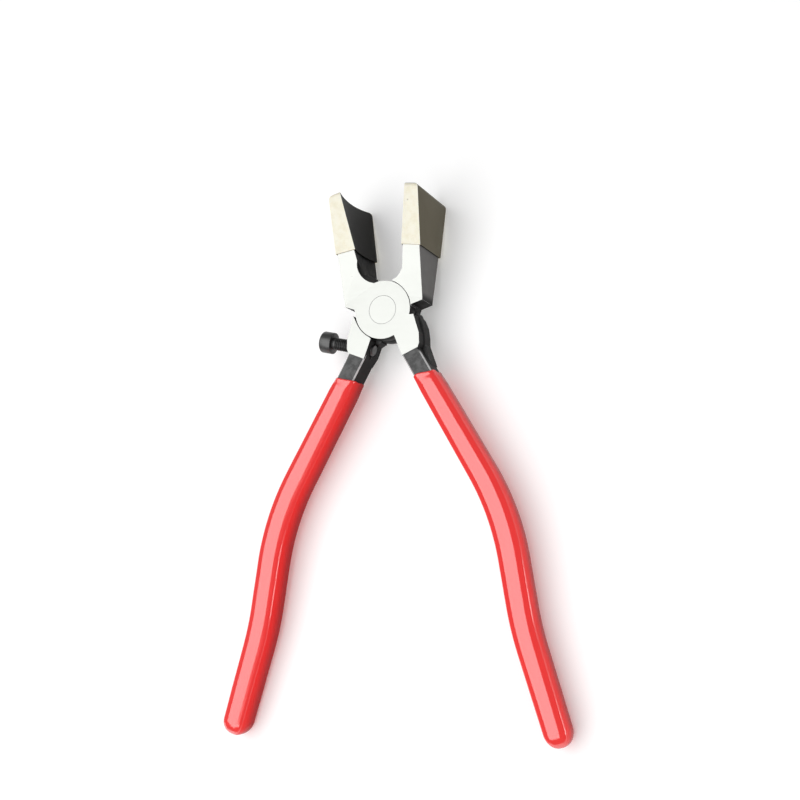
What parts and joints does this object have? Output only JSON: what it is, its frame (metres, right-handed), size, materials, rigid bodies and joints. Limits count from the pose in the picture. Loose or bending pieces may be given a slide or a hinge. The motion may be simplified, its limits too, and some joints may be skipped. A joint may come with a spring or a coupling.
{
  "type": "glass running pliers",
  "caption": "Hand pliers for breaking scored glass: lap-jointed steel levers, hollow and crowned flared jaws with slip-on tip covers, stop screw and dipped curved grips.",
  "frame": {"origin": "centre of the joint's rear ground face, on the pivot axis", "axes": "+Z along the pivot axis, from the rear face to the front face; +Y from the pivot between the jaws; +X to the side of the crowned jaw"},
  "size_m": [0.1368, 0.2085, 0.0304],
  "materials": {
    "forged_steel": "ground bright on the joint faces, dark forged scale on the sides and necks",
    "rivet_steel": "ground flush and bright",
    "black_oxide_screw": "black oxide, satin",
    "red_grip": "glossy dipped skin",
    "tip_cover": "translucent cream, satin"
  },
  "bodies": {
    "front_half": {"front_lever": "forged_steel", "pivot_rivet": "rivet_steel", "right_grip": "red_grip", "left_tip_cover": "tip_cover"},
    "rear_half": {"rear_lever": "forged_steel", "left_grip": "red_grip", "right_tip_cover": "tip_cover"},
    "adjuster": {"stop_screw": "black_oxide_screw"}
  },
  "joints": [
    {"name": "pivot", "type": "hinge", "parent": "front_half", "child": "rear_half", "pos_m": [0, 0, 0.0055], "axis": [0, 0, 1], "range_deg": [-9, 32]},
    {"name": "stop_screw_slide", "type": "slide", "parent": "rear_half", "child": "adjuster", "axis": [-0.9715, 0.2368, 0], "range_m": [-0.002, 0.004]}
  ]
}
